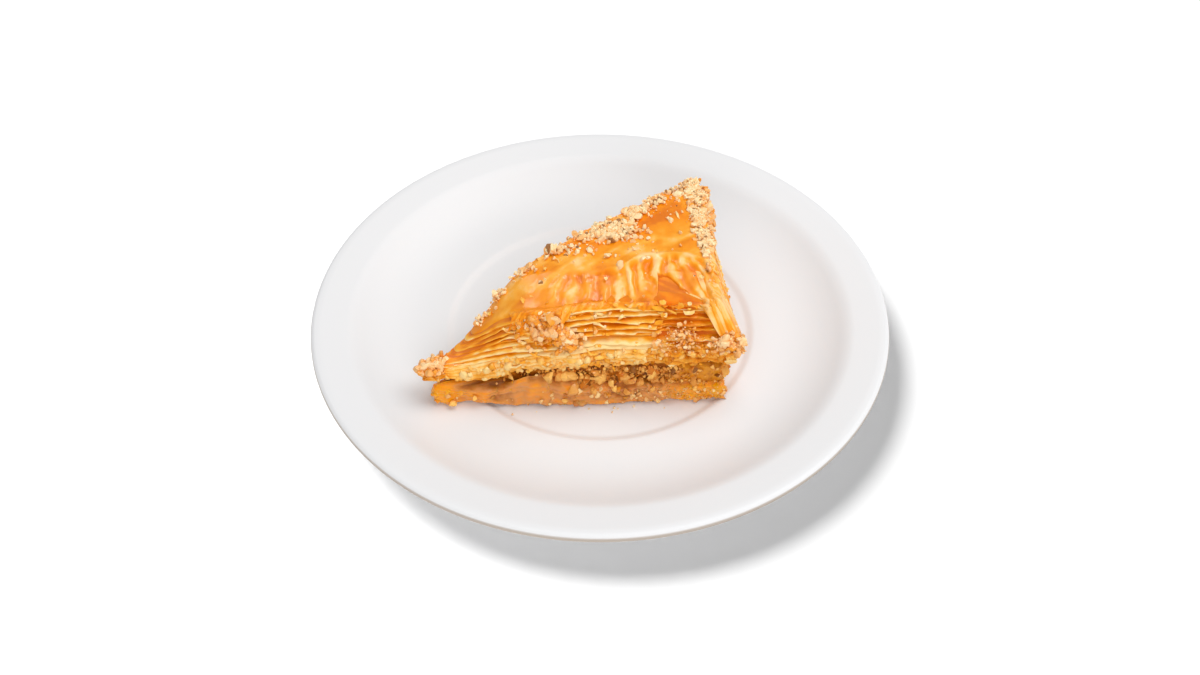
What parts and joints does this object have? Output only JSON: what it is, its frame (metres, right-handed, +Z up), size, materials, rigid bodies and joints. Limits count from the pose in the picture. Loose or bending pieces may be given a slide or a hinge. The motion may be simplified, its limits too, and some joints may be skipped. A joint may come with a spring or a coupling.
{
  "type": "walnut baklava slice on a plate",
  "caption": "Triangular slice of layered walnut baklava, with a soaked bottom pastry, a nut layer and flaky stepped leaves, on a round white rimmed plate.",
  "frame": {"origin": "centre of the plate's foot ring, on the surface that the plate stands on", "axes": "+Z up; +X along the slice's front side, from its sharp tip towards the square corner; +Y from the front side towards the back corner"},
  "size_m": [0.165, 0.165, 0.0399],
  "materials": {
    "porcelain": "smooth white glazed porcelain",
    "soaked_pastry": "amber pastry soaked in syrup, slightly see-through and glossy",
    "walnut": "chopped walnut, cream flesh with brown skins, moist",
    "baked_leaves": "thin golden baked pastry leaves glazed with syrup"
  },
  "bodies": {
    "root": {"plate": "porcelain", "pastry_bottom": "soaked_pastry", "nut_filling": "walnut", "pastry_top": "baked_leaves"}
  },
  "joints": []
}
